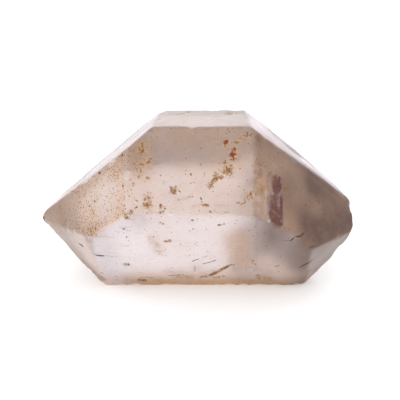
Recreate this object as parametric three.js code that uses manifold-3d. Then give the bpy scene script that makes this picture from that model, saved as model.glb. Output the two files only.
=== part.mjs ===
// A doubly terminated quartz crystal, a pale smoky citrine that lies on one of its prism faces.
// Sizes are in millimetres. The c axis runs along X, the viewer stands at -Y, and the rest face is at Z = 0.
import * as THREE from "three";
import { ConvexGeometry } from "three/addons/geometries/ConvexGeometry.js";
import { mergeVertices } from "three/addons/utils/BufferGeometryUtils.js";
import Module from "manifold-3d";

// The six sides that the prism and both pyramids share: the angle round the c axis, and the distance from
// the middle of the crystal to the prism face, the left pyramid's face and the right pyramid's face
const sides = {
  top: { angle: 90, prism: 12.55, left: 13.55, right: 14.05 },
  upperFront: { angle: 30, prism: 12.95, left: 15.75, right: 14.65 },
  lowerFront: { angle: -30, prism: 10.3, left: 17.0, right: 17.45 },
  under: { angle: -90, prism: 11.45, left: 17.45, right: 18.0 },
  lowerBack: { angle: -150, prism: 12.75, left: 18.7, right: 12.9 },
  upperBack: { angle: 150, prism: 11.6, left: 15.35, right: 16.05 },
};

// Angle between the c axis and the normal of a pyramid face, the same on every quartz crystal
const pyramidTilt = 51.8;

// Broken and worn facets at the tips: the way each one faces, and its distance from the middle
const wornFacets = [
  { facing: [-0.93, 0.33, 0.17], distance: 20.25 },
  { facing: [-0.72, 0.2, -0.67], distance: 17.4 },
  { facing: [0.9, 0.05, 0.43], distance: 19.8 },
  { facing: [0.82, -0.42, -0.39], distance: 21.0 },
];

// How far the sharp edges are worn back, and those round the face that the crystal rests on
const restFace = "prism under";
const edgeWear = 0.1;
const restEdgeWear = 0.2;

// Growth bands: shallow steps that cross each prism face, at right angles to the c axis
const bandsPerFace = 7;
const bandWidth = [0.35, 1.5];
const bandDepth = [0.05, 0.11];

// Growth plates: low three-cornered terraces on the pyramid faces
const platesPerFace = 3;
const plateRadius = [1.1, 2.4];
const plateHeight = [0.07, 0.12];
const plateTaper = 0.94;

// Etch pits: three-sided hollows, thick on the upper left face and scattered on the rest
const pitCounts = {
  "left upperFront": 42,
  "left top": 10,
  "right upperFront": 12,
  "prism upperFront": 14,
  "prism lowerFront": 12,
  "prism upperBack": 10,
};
const pitRadius = [0.14, 0.34];
const pitDepth = [0.06, 0.14];

// Chips along the edges: the two faces of the edge, how many, their radius and how deep they bite
const edgeChips = [
  { edge: ["prism lowerFront", "prism under"], count: 9, radius: [0.9, 2.2], bite: [0.16, 0.36] },
  { edge: ["prism under", "prism lowerBack"], count: 6, radius: [0.9, 1.8], bite: [0.12, 0.3] },
  { edge: ["prism upperFront", "prism lowerFront"], count: 3, radius: [0.4, 0.8], bite: [0.06, 0.12] },
  { edge: ["left lowerFront", "left under"], count: 6, radius: [0.7, 1.4], bite: [0.12, 0.28] },
  { edge: ["left top", "left upperBack"], count: 3, radius: [0.5, 0.9], bite: [0.08, 0.16] },
  { edge: ["right lowerFront", "right under"], count: 3, radius: [0.7, 1.3], bite: [0.1, 0.22] },
  { edge: ["right upperFront", "right lowerBack"], count: 4, radius: [0.5, 1.0], bite: [0.1, 0.2] },
];

// Single bruises that break the outline: the point on the surface, the radius and the bite
const bruises = [
  { at: [12.9, 7.4, 7.8], radius: 2.4, bite: 0.62 },
  { at: [-20.6, -2.9, -5.2], radius: 1.0, bite: 0.35 },
  { at: [18.4, -3.6, -9.2], radius: 1.3, bite: 0.3 },
];

// How chips are shaped and spread: squash and stretch of the lump that cuts them, and the share of its
// own length of edge that each one keeps to
const lumpDepth = [0.75, 1];
const lumpBreadth = [0.8, 1.1];
const chipSpread = [0.15, 0.85];

// The lump is a ball with flat facets, whose facets lie this share of its radius from its middle
const facetShare = 0.87;

// Plates and pits follow the crystal's lattice to within this turn, in radians
const latticeWobble = [-0.15, 0.15];

// Depth that a cutter or a plate passes through the face it sits on, so that no two faces coincide
const overlap = 0.3;

// Points closer than this are one corner, and a plane this near to a point passes through it
const sameCorner = 1e-3;
const rounding = 1e-6;

// Half the width of the square that random points on a face are drawn from, and how often one is drawn
const faceReach = 26;
const mostTries = 4000;

const wasm = await Module();
wasm.setup();

// Repeatable random numbers, so that every build gives the same crystal
let seed = 20817;
function random() {
  seed = (seed + 0x6d2b79f5) | 0;
  let mixed = Math.imul(seed ^ (seed >>> 15), 1 | seed);
  mixed = (mixed + Math.imul(mixed ^ (mixed >>> 7), 61 | mixed)) ^ mixed;
  return ((mixed ^ (mixed >>> 14)) >>> 0) / 4294967296;
}

function between([low, high]) {
  return low + (high - low) * random();
}

// A closed solid from a geometry, with its shared corners joined
function toSolid(geometry) {
  const bare = geometry.clone();
  bare.deleteAttribute("normal");
  bare.deleteAttribute("uv");
  const joined = mergeVertices(bare);
  const vertProperties = new Float32Array(joined.attributes.position.array);
  const triVerts = new Uint32Array(joined.index.array);
  return new wasm.Manifold(new wasm.Mesh({ numProp: 3, vertProperties, triVerts }));
}

// A geometry from a finished solid
function toGeometry(solid) {
  const mesh = solid.getMesh();
  const geometry = new THREE.BufferGeometry();
  geometry.setAttribute("position", new THREE.BufferAttribute(new Float32Array(mesh.vertProperties), 3));
  geometry.setIndex(new THREE.BufferAttribute(new Uint32Array(mesh.triVerts), 1));
  geometry.computeVertexNormals();
  return geometry;
}

// One flat face as a plane: its normal, its distance and two directions that lie in it. End is -1 for the
// left pyramid, 1 for the right one and 0 for the prism
function flatFace(name, normal, distance, end = 0) {
  const alongAxis = new THREE.Vector3(1, 0, 0).addScaledVector(normal, -normal.x).normalize();
  const across = new THREE.Vector3().crossVectors(normal, alongAxis);
  return { name, normal, distance, end, alongAxis, across };
}

// The eighteen faces of the habit
function habitFaces() {
  const faces = [];
  for (const [zone, end] of Object.entries({ prism: 0, left: -1, right: 1 })) {
    for (const [side, sizes] of Object.entries(sides)) {
      const azimuth = THREE.MathUtils.degToRad(sizes.angle);
      const tilt = end === 0 ? Math.PI / 2 : THREE.MathUtils.degToRad(pyramidTilt);
      const normal = new THREE.Vector3(
        end * Math.cos(tilt),
        -Math.sin(tilt) * Math.cos(azimuth),
        Math.sin(tilt) * Math.sin(azimuth),
      );
      faces.push(flatFace(`${zone} ${side}`, normal, sizes[zone], end));
    }
  }
  return faces;
}

// The point where three planes meet, or null where two of them are parallel
function meetingPoint(a, b, c) {
  const bc = new THREE.Vector3().crossVectors(b.normal, c.normal);
  const scale = a.normal.dot(bc);
  if (Math.abs(scale) < rounding) return null;
  const ca = new THREE.Vector3().crossVectors(c.normal, a.normal);
  const ab = new THREE.Vector3().crossVectors(a.normal, b.normal);
  return bc.multiplyScalar(a.distance)
    .addScaledVector(ca, b.distance)
    .addScaledVector(ab, c.distance)
    .divideScalar(scale);
}

function isInside(point, faces, slack) {
  return faces.every((face) => face.normal.dot(point) <= face.distance + slack);
}

// The corners of the body that a set of planes encloses
function cornersOf(faces) {
  const corners = [];
  for (let i = 0; i < faces.length; i += 1) {
    for (let j = i + 1; j < faces.length; j += 1) {
      for (let k = j + 1; k < faces.length; k += 1) {
        const point = meetingPoint(faces[i], faces[j], faces[k]);
        if (!point || !isInside(point, faces, rounding)) continue;
        if (corners.every((corner) => corner.distanceTo(point) > sameCorner)) corners.push(point);
      }
    }
  }
  return corners;
}

// The two ends of the edge between two faces
function edgeEnds(corners, a, b) {
  const isOn = (face, point) => Math.abs(face.normal.dot(point) - face.distance) < sameCorner;
  return corners.filter((corner) => isOn(a, corner) && isOn(b, corner));
}

// A narrow facet along each edge, where handling has dulled it
function wornEdges(faces, corners) {
  const facets = [];
  for (let i = 0; i < faces.length; i += 1) {
    for (let j = i + 1; j < faces.length; j += 1) {
      const ends = edgeEnds(corners, faces[i], faces[j]);
      if (ends.length < 2) continue;
      const normal = new THREE.Vector3().addVectors(faces[i].normal, faces[j].normal).normalize();
      const wear = [faces[i].name, faces[j].name].includes(restFace) ? restEdgeWear : edgeWear;
      facets.push(flatFace("worn", normal, normal.dot(ends[0]) - wear));
    }
  }
  return facets;
}

// A random point on a face, at least a margin inside its edges
function pointOnFace(face, faces, margin) {
  const others = faces.filter((other) => other !== face);
  for (let tries = 0; tries < mostTries; tries += 1) {
    const point = face.normal.clone().multiplyScalar(face.distance)
      .addScaledVector(face.alongAxis, between([-faceReach, faceReach]))
      .addScaledVector(face.across, between([-faceReach, faceReach]));
    if (isInside(point, others, -margin)) return point;
  }
  return null;
}

// Puts a geometry that was made round Y on a face: Y becomes the normal and X runs along the c axis
function placeOnFace(geometry, face, point, turn, lift) {
  const basis = new THREE.Matrix4().makeBasis(face.alongAxis, face.normal, face.across.clone().negate());
  geometry.rotateY(turn);
  geometry.applyMatrix4(basis);
  const at = point.clone().addScaledVector(face.normal, lift);
  geometry.translate(at.x, at.y, at.z);
  return geometry;
}

// Growth bands: a flat-bottomed step across the whole width of a prism face
function bandCutter(face, faces) {
  const width = between(bandWidth);
  const depth = between(bandDepth);
  const point = pointOnFace(face, faces, width);
  const middle = face.normal.clone().multiplyScalar(face.distance).setX(point.x);
  const slab = new THREE.BoxGeometry(width, overlap, 2 * sides.top.prism);
  return placeOnFace(slab, face, middle, 0, overlap / 2 - depth);
}

// Growth plates: a low three-cornered terrace, one corner towards the tip
function growthPlate(face, faces) {
  const radius = between(plateRadius);
  const height = between(plateHeight);
  const point = pointOnFace(face, faces, radius);
  if (!point) return null;
  const plate = new THREE.CylinderGeometry(radius * plateTaper, radius, overlap + height, 3);
  const turn = (face.end * Math.PI) / 2 + between(latticeWobble);
  return placeOnFace(plate, face, point, turn, (height - overlap) / 2);
}

// Etch pits: a three-sided hollow that narrows inwards
function pitCutter(face, faces) {
  const radius = between(pitRadius);
  const depth = between(pitDepth);
  const point = pointOnFace(face, faces, 2 * radius);
  const steepness = overlap / depth;
  const cone = new THREE.ConeGeometry(radius * (1 + steepness), depth + overlap, 3);
  cone.rotateX(Math.PI);
  const turn = (face.end * Math.PI) / 2 + between(latticeWobble);
  return placeOnFace(cone, face, point, turn, (overlap - depth) / 2);
}

// A chip or bruise: a rounded lump with flat facets, which leaves a shell-shaped hollow
function lumpCutter(point, outward, radius, bite) {
  const lump = new THREE.IcosahedronGeometry(radius, 1);
  lump.scale(1, between(lumpDepth), between(lumpBreadth));
  lump.rotateX(between([0, Math.PI]));
  lump.rotateY(between([0, Math.PI]));
  const at = point.clone().addScaledVector(outward, radius * facetShare - bite);
  lump.translate(at.x, at.y, at.z);
  return lump;
}

// Chips along one edge, spread unevenly from end to end
function chipCutters({ edge, count, radius, bite }, faces, corners) {
  const [a, b] = edge.map((name) => faces.find((face) => face.name === name));
  const [start, finish] = edgeEnds(corners, a, b);
  const outward = new THREE.Vector3().addVectors(a.normal, b.normal).normalize();
  const cutters = [];
  for (let i = 0; i < count; i += 1) {
    const share = (i + between(chipSpread)) / count;
    const point = start.clone().lerp(finish, share);
    cutters.push(lumpCutter(point, outward, between(radius), between(bite)));
  }
  return cutters;
}

function growCrystal() {
  const faces = habitFaces();
  const corners = cornersOf(faces);
  const facets = wornFacets.map(({ facing, distance }) => {
    return flatFace("broken", new THREE.Vector3(...facing).normalize(), distance);
  });
  const planes = [...faces, ...facets, ...wornEdges(faces, corners)];
  let crystal = toSolid(new ConvexGeometry(cornersOf(planes)));

  const cutters = [];
  for (const face of faces) {
    if (face.end !== 0) {
      for (let i = 0; i < platesPerFace; i += 1) {
        const plate = growthPlate(face, planes);
        if (plate) crystal = crystal.add(toSolid(plate));
      }
    } else if (face.name !== restFace) {
      for (let i = 0; i < bandsPerFace; i += 1) cutters.push(bandCutter(face, planes));
    }
    for (let i = 0; i < (pitCounts[face.name] ?? 0); i += 1) cutters.push(pitCutter(face, planes));
  }
  for (const chips of edgeChips) cutters.push(...chipCutters(chips, faces, corners));
  for (const { at, radius, bite } of bruises) {
    const point = new THREE.Vector3(...at);
    const outward = point.clone().setX(0).normalize();
    cutters.push(lumpCutter(point, outward, radius, bite));
  }
  for (const cutter of cutters) crystal = crystal.subtract(toSolid(cutter));
  return toGeometry(crystal);
}

const quartz = new THREE.MeshStandardMaterial({
  name: "pale_citrine",
  color: 0xd9c4b2,
  roughness: 0.28,
  metalness: 0,
  transparent: true,
  opacity: 0.6,
});

const geometry = growCrystal();
geometry.computeBoundingBox();
const { min, max } = geometry.boundingBox;
geometry.translate(-(min.x + max.x) / 2, -(min.y + max.y) / 2, -min.z);

const crystal = new THREE.Mesh(geometry, quartz);
crystal.name = "citrine_crystal";

const part = new THREE.Group();
part.add(crystal);

export default part;
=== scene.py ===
import itertools
import math
import bpy
import numpy as np
from mathutils import Matrix, Vector
from mathutils.geometry import delaunay_2d_cdt


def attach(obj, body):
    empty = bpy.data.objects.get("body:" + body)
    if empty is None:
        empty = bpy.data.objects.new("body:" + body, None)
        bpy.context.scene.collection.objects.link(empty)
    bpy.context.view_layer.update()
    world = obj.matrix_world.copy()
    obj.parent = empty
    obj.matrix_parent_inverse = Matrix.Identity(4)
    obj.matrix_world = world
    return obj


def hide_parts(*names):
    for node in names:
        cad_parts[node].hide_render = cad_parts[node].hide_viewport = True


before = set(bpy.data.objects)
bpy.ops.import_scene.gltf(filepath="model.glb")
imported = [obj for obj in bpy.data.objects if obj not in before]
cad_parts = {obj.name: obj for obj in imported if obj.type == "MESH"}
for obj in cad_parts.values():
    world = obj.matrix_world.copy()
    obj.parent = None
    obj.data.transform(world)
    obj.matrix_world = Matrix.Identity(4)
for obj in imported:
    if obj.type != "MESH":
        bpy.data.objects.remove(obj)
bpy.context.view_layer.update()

mm = 0.001

# The crystal's habit in mm: its middle in the frame, the angles of quartz, and how far each face lies
# from the middle. The sides run top, upper front, lower front, under, lower back, upper back
habit = {
    "middleAt": (0.492, -0.318, 11.45),
    "sideAngles": (90, 30, -30, -90, -150, 150),
    "pyramidTilt": 51.8,
    "prism": (12.55, 12.95, 10.3, 11.45, 12.75, 11.6),
    "left": (13.55, 15.75, 17.0, 17.45, 18.7, 15.35),
    "right": (14.05, 14.65, 17.45, 18.0, 12.9, 16.05),
    "broken": (((-0.93, 0.33, 0.17), 20.25), ((-0.72, 0.2, -0.67), 17.4),
               ((0.9, 0.05, 0.43), 19.8), ((0.82, -0.42, -0.39), 21.0)),
}
underFace = 3
firstBroken = 18


def faceIndex(zone, side):
    # A face's place in the list of planes: six prism faces, six at the left end, six at the right end
    return {"prism": 0, "left": 6, "right": 12}[zone] + side


def habitPlanes():
    # Each plane is a unit normal and a distance: prism normals stand at right angles to X, and
    # pyramid normals lean from X by the tilt
    normals, distances = [], []
    for zone, end in (("prism", 0), ("left", -1), ("right", 1)):
        tilt = math.radians(habit["pyramidTilt"]) if end else math.pi / 2
        for angle, distance in zip(np.radians(habit["sideAngles"]), habit[zone]):
            normals.append((end * math.cos(tilt), -math.sin(tilt) * math.cos(angle),
                            math.sin(tilt) * math.sin(angle)))
            distances.append(distance)
    for facing, distance in habit["broken"]:
        normals.append(np.array(facing) / np.linalg.norm(facing))
        distances.append(distance)
    return np.array(normals), np.array(distances)


normals, distances = habitPlanes()


def faceAxes(normal):
    # Two directions in the face: along the c axis as nearly as it can, and across it
    along = np.array([1.0, 0, 0]) - normal * normal[0]
    along /= np.linalg.norm(along)
    return along, np.cross(normal, along)


# How the crystal's skin is divided, in mm: the grid step in front and behind, the closer grid around small
# marks, extra rows beside each edge, how exactly a point counts as lying on a corner, row or face, and how
# often the points are moved on to the real surface
skin = {
    "step": 0.205,
    "backStep": 0.29,
    "fineStep": 0.1,
    "fineReach": 0.12,
    "frontBelow": 0.1,
    "rowShare": 0.866,
    "edgeRows": (0.05, 0.11),
    "rowExact": 1e-5,
    "clearOfEdge": 0.17,
    "cornerExact": 1e-6,
    "cornerDigits": 6,
    "faceExact": 1e-4,
    "fillExact": 1e-7,
    "leastLength": 1e-9,
    "weldDigits": 3,
    "settleSteps": 4,
}


def bodyCorners():
    # Every three planes meet in a point, and the corners are the points that no plane cuts off
    triples = np.array(list(itertools.combinations(range(len(normals)), 3)))
    systems = normals[triples]
    solvable = np.abs(np.linalg.det(systems)) > skin["cornerExact"]
    points = np.linalg.solve(systems[solvable], distances[triples[solvable]][..., None])[..., 0]
    inside = (points @ normals.T <= distances + skin["cornerExact"]).all(1)
    return np.unique(points[inside].round(skin["cornerDigits"]), axis=0)


def edgeSamples(start, finish):
    # Evenly spaced points from one corner to the other, worked out the same way round for both faces
    if tuple(start) > tuple(finish):
        return edgeSamples(finish, start)[::-1]
    count = max(1, round(float(np.linalg.norm(finish - start)) / skin["step"]))
    return start + (finish - start) * np.linspace(0, 1, count + 1)[:, None]


def staggeredGrid(low, high, step):
    # Rows of points, every second one shifted by half a step, so that they stand in even triangles
    columns, rows = np.arange(low[0], high[0], step), np.arange(low[1], high[1], step * skin["rowShare"])
    u, v = np.meshgrid(columns, rows, indexing="ij")
    u = u + (np.arange(u.shape[1]) % 2) * step / 2
    return np.stack([u.ravel(), v.ravel()], 1)


def distanceToStroke(points, ends):
    # Distance from each point to the straight line between two ends
    start, finish = ends
    line = finish - start
    share = np.clip((points - start) @ line / max(line @ line, skin["leastLength"]), 0, 1)
    return np.linalg.norm(points - start - share[:, None] * line, axis=1)


def besideMarks(points, marks):
    # Which points lie closer to a small mark than its radius and a little more
    close = np.zeros(len(points), bool)
    for first, last, radius in marks:
        close |= distanceToStroke(points, (first, last)) < radius + skin["fineReach"]
    return close


def fillFace(normal, distance, corners, marks):
    # One flat face: points along its edges, rows just inside them, and a staggered grid over the rest
    along, across = faceAxes(normal)
    own = corners[np.abs(corners @ normal - distance) < skin["faceExact"]]
    flat = np.stack([own @ along, own @ across], 1)
    turn = np.arctan2(*(flat - flat.mean(0)).T[::-1])
    own, flat = own[np.argsort(turn)], flat[np.argsort(turn)]
    rim = np.concatenate([edgeSamples(a, b)[:-1] for a, b in zip(own, np.roll(own, -1, 0))])
    rimFlat = np.stack([rim @ along, rim @ across], 1)
    sides = np.roll(flat, -1, 0) - flat
    sides /= np.linalg.norm(sides, axis=1)[:, None]
    inward = np.stack([-sides[:, 1], sides[:, 0]], 1)

    def depthInside(points):
        # Distance from the nearest side of the face
        return ((points[:, None, :] - flat) * inward).sum(2).min(1)

    def lifted(points):
        # From the face's own two directions back into the crystal's space
        return points[:, :1] * along + points[:, 1:] * across + normal * distance

    parts = [rimFlat]
    for row in skin["edgeRows"]:
        shifted = np.concatenate([rimFlat + row * side for side in inward])
        parts.append(shifted[np.abs(depthInside(shifted) - row) < skin["rowExact"]])
    low, high = flat.min(0), flat.max(0)
    isFront = normal[1] < skin["frontBelow"]
    grid = staggeredGrid(low, high, skin["step"] if isFront else skin["backStep"])
    grid = grid[~besideMarks(lifted(grid), marks)]
    if isFront:
        fine = staggeredGrid(low, high, skin["fineStep"])
        grid = np.concatenate([grid, fine[besideMarks(lifted(fine), marks)]])
    parts.append(grid[depthInside(grid) > skin["clearOfEdge"]])
    points = np.concatenate(parts)
    loop = [list(range(len(rimFlat)))]
    spots, _, triangles, _, _, _ = delaunay_2d_cdt(points.tolist(), [], loop, 1, skin["fillExact"])
    return lifted(np.array(spots)), np.array(triangles)


def weldedSkin(corners, marks):
    # All faces in one closed mesh: points that two faces share become one
    points, triangles, offset = [], [], 0
    for normal, distance in zip(normals, distances):
        if (np.abs(corners @ normal - distance) < skin["faceExact"]).sum() < 3:
            continue
        solid, mesh = fillFace(normal, distance, corners, marks)
        points.append(solid)
        triangles.append(mesh + offset)
        offset += len(solid)
    points, triangles = np.concatenate(points), np.concatenate(triangles)
    _, keep, merged = np.unique(points.round(skin["weldDigits"]), axis=0, return_index=True, return_inverse=True)
    triangles = merged.reshape(-1)[triangles]
    a, b, c = triangles.T
    return points[keep], triangles[(a != b) & (b != c) & (c != a)]


# The wavelengths in a noise, as shares of its bump size
waveSpread = (0.7, 1.6)


def waves(points, size, seed, count=28):
    # Smooth noise: a sum of cosines in random directions, about one unit high, with bumps of a given size
    rng = np.random.default_rng(seed)
    directions = rng.normal(size=(count, points.shape[1]))
    directions /= np.linalg.norm(directions, axis=1)[:, None]
    pitch = 2 * math.pi / (size * rng.uniform(*waveSpread, count))
    phase = rng.uniform(0, 2 * math.pi, count)
    return np.cos(points @ (directions * pitch[:, None]).T + phase).sum(1) * math.sqrt(2 / count)


def ramp(value, low, high):
    # 0 below low, 1 above high and a smooth rise between: three times the share squared less twice it cubed
    t = np.clip((value - low) / (high - low), 0, 1)
    return t * t * (3 - 2 * t)


# Growth bands on the prism, in mm: steps of random width across the face, that bend a little and fade sideways
bands = {"widths": (0.25, 1.7), "height": 0.014, "riser": 0.1, "riserLimit": 40, "reach": 24,
         "bend": 0.12, "bendSize": 6.0, "fade": (0.65, 0.35), "fadeStretch": 0.15, "fadeSize": 5.0}


def growthBands(x, across, seed):
    # Height is a staircase of random steps along the c axis, each joined to the next by a short logistic rise,
    # times a slow wave sideways
    rng = np.random.default_rng(seed)
    count = int(2 * bands["reach"] / np.mean(bands["widths"])) + 4
    edges = -bands["reach"] + np.cumsum(rng.uniform(*bands["widths"], count))
    heights = rng.normal(0, bands["height"], count + 1)
    bend = bands["bend"] * waves(np.stack([x, across], 1), bands["bendSize"], seed + 1)
    limit = bands["riserLimit"]
    rises = 1 / (1 + np.exp(-np.clip(((x + bend)[:, None] - edges) / bands["riser"], -limit, limit)))
    profile = heights[0] + rises @ np.diff(heights)
    least, gain = bands["fade"]
    sideways = np.stack([x * bands["fadeStretch"], across], 1)
    return profile * (least + gain * waves(sideways, bands["fadeSize"], seed + 2))


# Terraces and etch pits on the faces, in mm, and how many pits each face has: zone, side and count
terraces = {"count": 5, "radius": (0.9, 3.2), "height": (0.02, 0.055), "riser": 0.09, "turnSpread": 0.05}
pits = {"radius": (0.14, 0.42), "depth": (0.03, 0.1), "slope": (-0.3, 0.62), "reach": 3}
pitCounts = {faceIndex(zone, side): count for zone, side, count in (
    ("left", 1, 130), ("left", 0, 26), ("right", 1, 30), ("prism", 1, 34), ("prism", 2, 26), ("left", 5, 30),
    ("right", 5, 26), ("prism", 5, 24), ("right", 4, 26), ("right", 0, 22), ("prism", 0, 14), ("left", 2, 14))}


def triangleDistance(u, v, turn):
    # Distance from the middle of a triangle in its own measure: the largest of three directions 120 degrees apart
    angles = turn + np.array([0, 2, 4]) * math.pi / 3
    return np.max([u * math.cos(a) + v * math.sin(a) for a in angles], axis=0)


def pointsInside(own, count, rng):
    # Random places on a face, picked among its own points
    return own[rng.integers(0, len(own), count)]


def terraceRelief(u, v, own, end, seed):
    # A sum of flat three-cornered plates: full height inside the triangle, and a smooth fall over its rim
    rng = np.random.default_rng(seed)
    relief, riser = np.zeros(len(u)), terraces["riser"]
    for middle in pointsInside(own, terraces["count"], rng):
        radius, height = rng.uniform(*terraces["radius"]), rng.uniform(*terraces["height"])
        turn = math.pi * (end > 0) + rng.normal(0, terraces["turnSpread"])
        outside = triangleDistance(u - middle[0], v - middle[1], turn)
        relief += height * (1 - ramp(outside, radius / 2 - riser, radius / 2 + riser))
    return relief


def pitRelief(u, v, own, end, count, seed):
    # Minus a sum of three-cornered hollows, deepest in the middle and rising smoothly to the rim
    rng = np.random.default_rng(seed)
    relief = np.zeros(len(u))
    low, high = pits["slope"]
    for middle in pointsInside(own, count, rng):
        radius, depth = rng.uniform(*pits["radius"]), rng.uniform(*pits["depth"])
        reach = pits["reach"] * radius
        near = (np.abs(u - middle[0]) < reach) & (np.abs(v - middle[1]) < reach)
        outside = triangleDistance(u[near] - middle[0], v[near] - middle[1], math.pi * (end > 0))
        relief[near] -= depth * (1 - ramp(outside, low * radius, high * radius))
    return relief


# Low swells and fine grain on every face, size and height in mm, and how much rougher a broken face is
swell = {"large": (8.0, 0.03), "small": (1.9, 0.005), "grain": (0.7, 0.0012), "broken": (0.9, 0.05),
         "brokenGain": 2.5}

# Fine ridges on the two top pyramid faces, along their outer edges: turn in degrees from the face's own axis
striae = {"turn": {"left": 52, "right": -52}, "width": (0.3, 0.8), "height": 0.005, "length": 9.0,
          "waveSize": 2.0, "narrowShare": 0.6}


def striaeRelief(u, v, turn, seed):
    # Long narrow swells side by side: wide waves plus a share of narrow ones, squeezed along the ridges
    c, s = math.cos(math.radians(turn)), math.sin(math.radians(turn))
    along, across = (u * c + v * s) / striae["length"], v * c - u * s
    narrow, wide = striae["width"]
    relief = waves(np.stack([along, across / wide], 1), striae["waveSize"], seed)
    relief += striae["narrowShare"] * waves(np.stack([along, across / narrow], 1), striae["waveSize"], seed + 1)
    return striae["height"] * relief


# The broken patch on the right front pyramid face, in that face's own axes in mm: its soft left side, its
# sharp right wall, its foot and head, and how deep and rough its floor lies
fracture = {
    "left": (-1.0, 0.8),
    "wall": (2.08, 2.2),
    "foot": (-5.25, -5.05),
    "head": (0.5, 1.1),
    "depth": 0.14,
    "roughness": 0.08,
    "grain": 0.9,
}

# Every random pattern starts from its own seed, and those of the faces add the face's index to it
seeds = {"swell": 40, "small": 70, "grain": 100, "broken": 130, "bands": 160, "terraces": 200, "pits": 240,
         "striae": 300, "fracture": 61, "wear": 7, "chips": 11, "hiddenRust": 23, "smoke": 31,
         "hiddenSmear": 91, "faintSmear": 95, "milkAndReflection": 93}


def fractureRelief(u, v):
    # Minus the product of four smooth sides and a floor that is one depth plus waves
    inside = ramp(u, *fracture["left"]) * (1 - ramp(u, *fracture["wall"]))
    inside *= ramp(v, *fracture["foot"]) * (1 - ramp(v, *fracture["head"]))
    rough = waves(np.stack([u, v], 1), fracture["grain"], seeds["fracture"])
    return -inside * (fracture["depth"] + fracture["roughness"] * rough)


def faceRelief(index, points):
    # Height of the real face above its ideal plane: swells and grain, plus growth bands on the prism or
    # terraces on the pyramids, plus pits, ridges and the broken patch where the face has them
    along, across = faceAxes(normals[index])
    u, v = points @ along, points @ across
    relief = swell["large"][1] * waves(points, swell["large"][0], seeds["swell"] + index)
    for layer in ("small", "grain"):
        relief += swell[layer][1] * waves(points, swell[layer][0], seeds[layer] + index)
    if index >= firstBroken:
        size, height = swell["broken"]
        return relief * swell["brokenGain"] + height * waves(points, size, seeds["broken"] + index)
    own = np.stack([u, v], 1)
    end = 0 if index < faceIndex("left", 0) else (-1 if index < faceIndex("right", 0) else 1)
    if end == 0:
        relief += growthBands(u, v, seeds["bands"] + 3 * index)
    else:
        relief += terraceRelief(u, v, own, end, seeds["terraces"] + index)
    if index in pitCounts:
        relief += pitRelief(u, v, own, end, pitCounts[index], seeds["pits"] + index)
    if index == faceIndex("right", 1):
        relief += fractureRelief(u, v)
    if index in (faceIndex("left", 0), faceIndex("right", 0)):
        relief += striaeRelief(u, v, striae["turn"]["left" if end < 0 else "right"], seeds["striae"] + index)
    return -np.abs(relief) if index == underFace else relief


# Worn edges: a larger sharpness in 1/mm means a smaller radius, and the wear changes from place to place
wear = {"sharpness": 9.0, "unevenness": 0.45, "limit": 1.3, "least": 0.35, "patchSize": 2.2, "near": 0.6}

# Rows of chips along the edges, in mm from the crystal's middle: first and last point, how many, their radii and
# how deep they bite. Nearer to the middle than prismReach along X, they point away from the c axis
prismReach = 15
chipRows = [
    ((-13.7, -5.3, -11.45), (14.6, -5.3, -11.45), 20, (0.6, 2.8), (0.06, 0.42)),
    ((-23.2, -2.8, -2), (-17.7, -4.1, -8.3), 9, (0.5, 1.8), (0.06, 0.32)),
    ((-17.7, -4.1, -8.3), (-14.4, -5.6, -10.9), 5, (0.5, 1.5), (0.05, 0.25)),
    ((15.1, -5.5, -11), (20, -3.3, -7.2), 8, (0.4, 1.1), (0.04, 0.16)),
    ((22.3, -3.3, -3.5), (22.3, -1.5, -0.5), 6, (0.3, 0.8), (0.04, 0.14)),
    ((-11.3, 8.1, -11.45), (4.7, 8.1, -11.45), 12, (0.5, 1.7), (0.05, 0.28)),
    ((4.7, 8.1, -11.45), (14.6, -0.9, -11.45), 9, (0.5, 1.4), (0.04, 0.2)),
    ((-9, -13.4, 2.65), (7.3, -13.4, 2.65), 12, (0.2, 0.6), (0.02, 0.07)),
    ((-6, -7.7, 12.55), (6.8, -7.7, 12.55), 7, (0.15, 0.35), (0.01, 0.035)),
    ((-6, 6.1, 12.55), (6.8, 6.1, 12.55), 8, (0.2, 0.6), (0.02, 0.08)),
    ((-20.4, 3.3, 1.2), (-10.1, 8, 9.3), 11, (0.2, 0.9), (0.02, 0.14)),
    ((11.2, 8.2, 9.1), (17.6, 5.3, 4), 7, (0.2, 0.9), (0.02, 0.12)),
    ((11.2, 11.1, 4), (17.6, 5.3, 4), 7, (0.3, 1.1), (0.03, 0.16)),
    ((-10.1, 14.1, -1.2), (4.7, 14.1, -1.2), 10, (0.2, 0.7), (0.02, 0.09)),
    ((-17.8, 8.8, -4.3), (-14, 12.3, -4.3), 4, (0.3, 0.9), (0.03, 0.12)),
]

# Single bruises: place, direction outwards, radius and bite
bruises = [
    ((12.1, 7.8, 8.4), (0, 0.69, 0.73), 1.6, 0.15),
    ((12.9, 7.4, 7.8), (0.1, 0.6, 0.75), 2.6, 0.24),
    ((14, 6.9, 6.9), (0.2, 0.6, 0.7), 1.3, 0.16),
    ((-20.6, -2.9, -5.2), (-0.3, -0.5, -0.8), 1.1, 0.3),
    ((17.6, -4.4, -9.4), (0.5, -0.3, -0.8), 1.3, 0.22),
]

def chipBalls():
    # Each chip is a ball that scoops the surface: its middle and its radius. The ball's middle lies outside the
    # edge by the radius less the bite, away from the c axis on the prism and from the middle at the ends
    rng = np.random.default_rng(seeds["chips"])
    places = []
    for start, finish, count, radii, bites in chipRows:
        start, finish = np.array(start), np.array(finish)
        for share in (np.arange(count) + rng.uniform(0, 1, count)) / count:
            point = start + (finish - start) * share
            outward = point * (0, 1, 1) if abs(point[0]) < prismReach else point
            places.append((point, outward, rng.uniform(*radii), rng.uniform(*bites)))
    places += [(np.array(point), np.array(outward), radius, bite) for point, outward, radius, bite in bruises]
    return np.array([(*(point + outward / np.linalg.norm(outward) * (radius - bite)), radius)
                     for point, outward, radius, bite in places])


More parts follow.
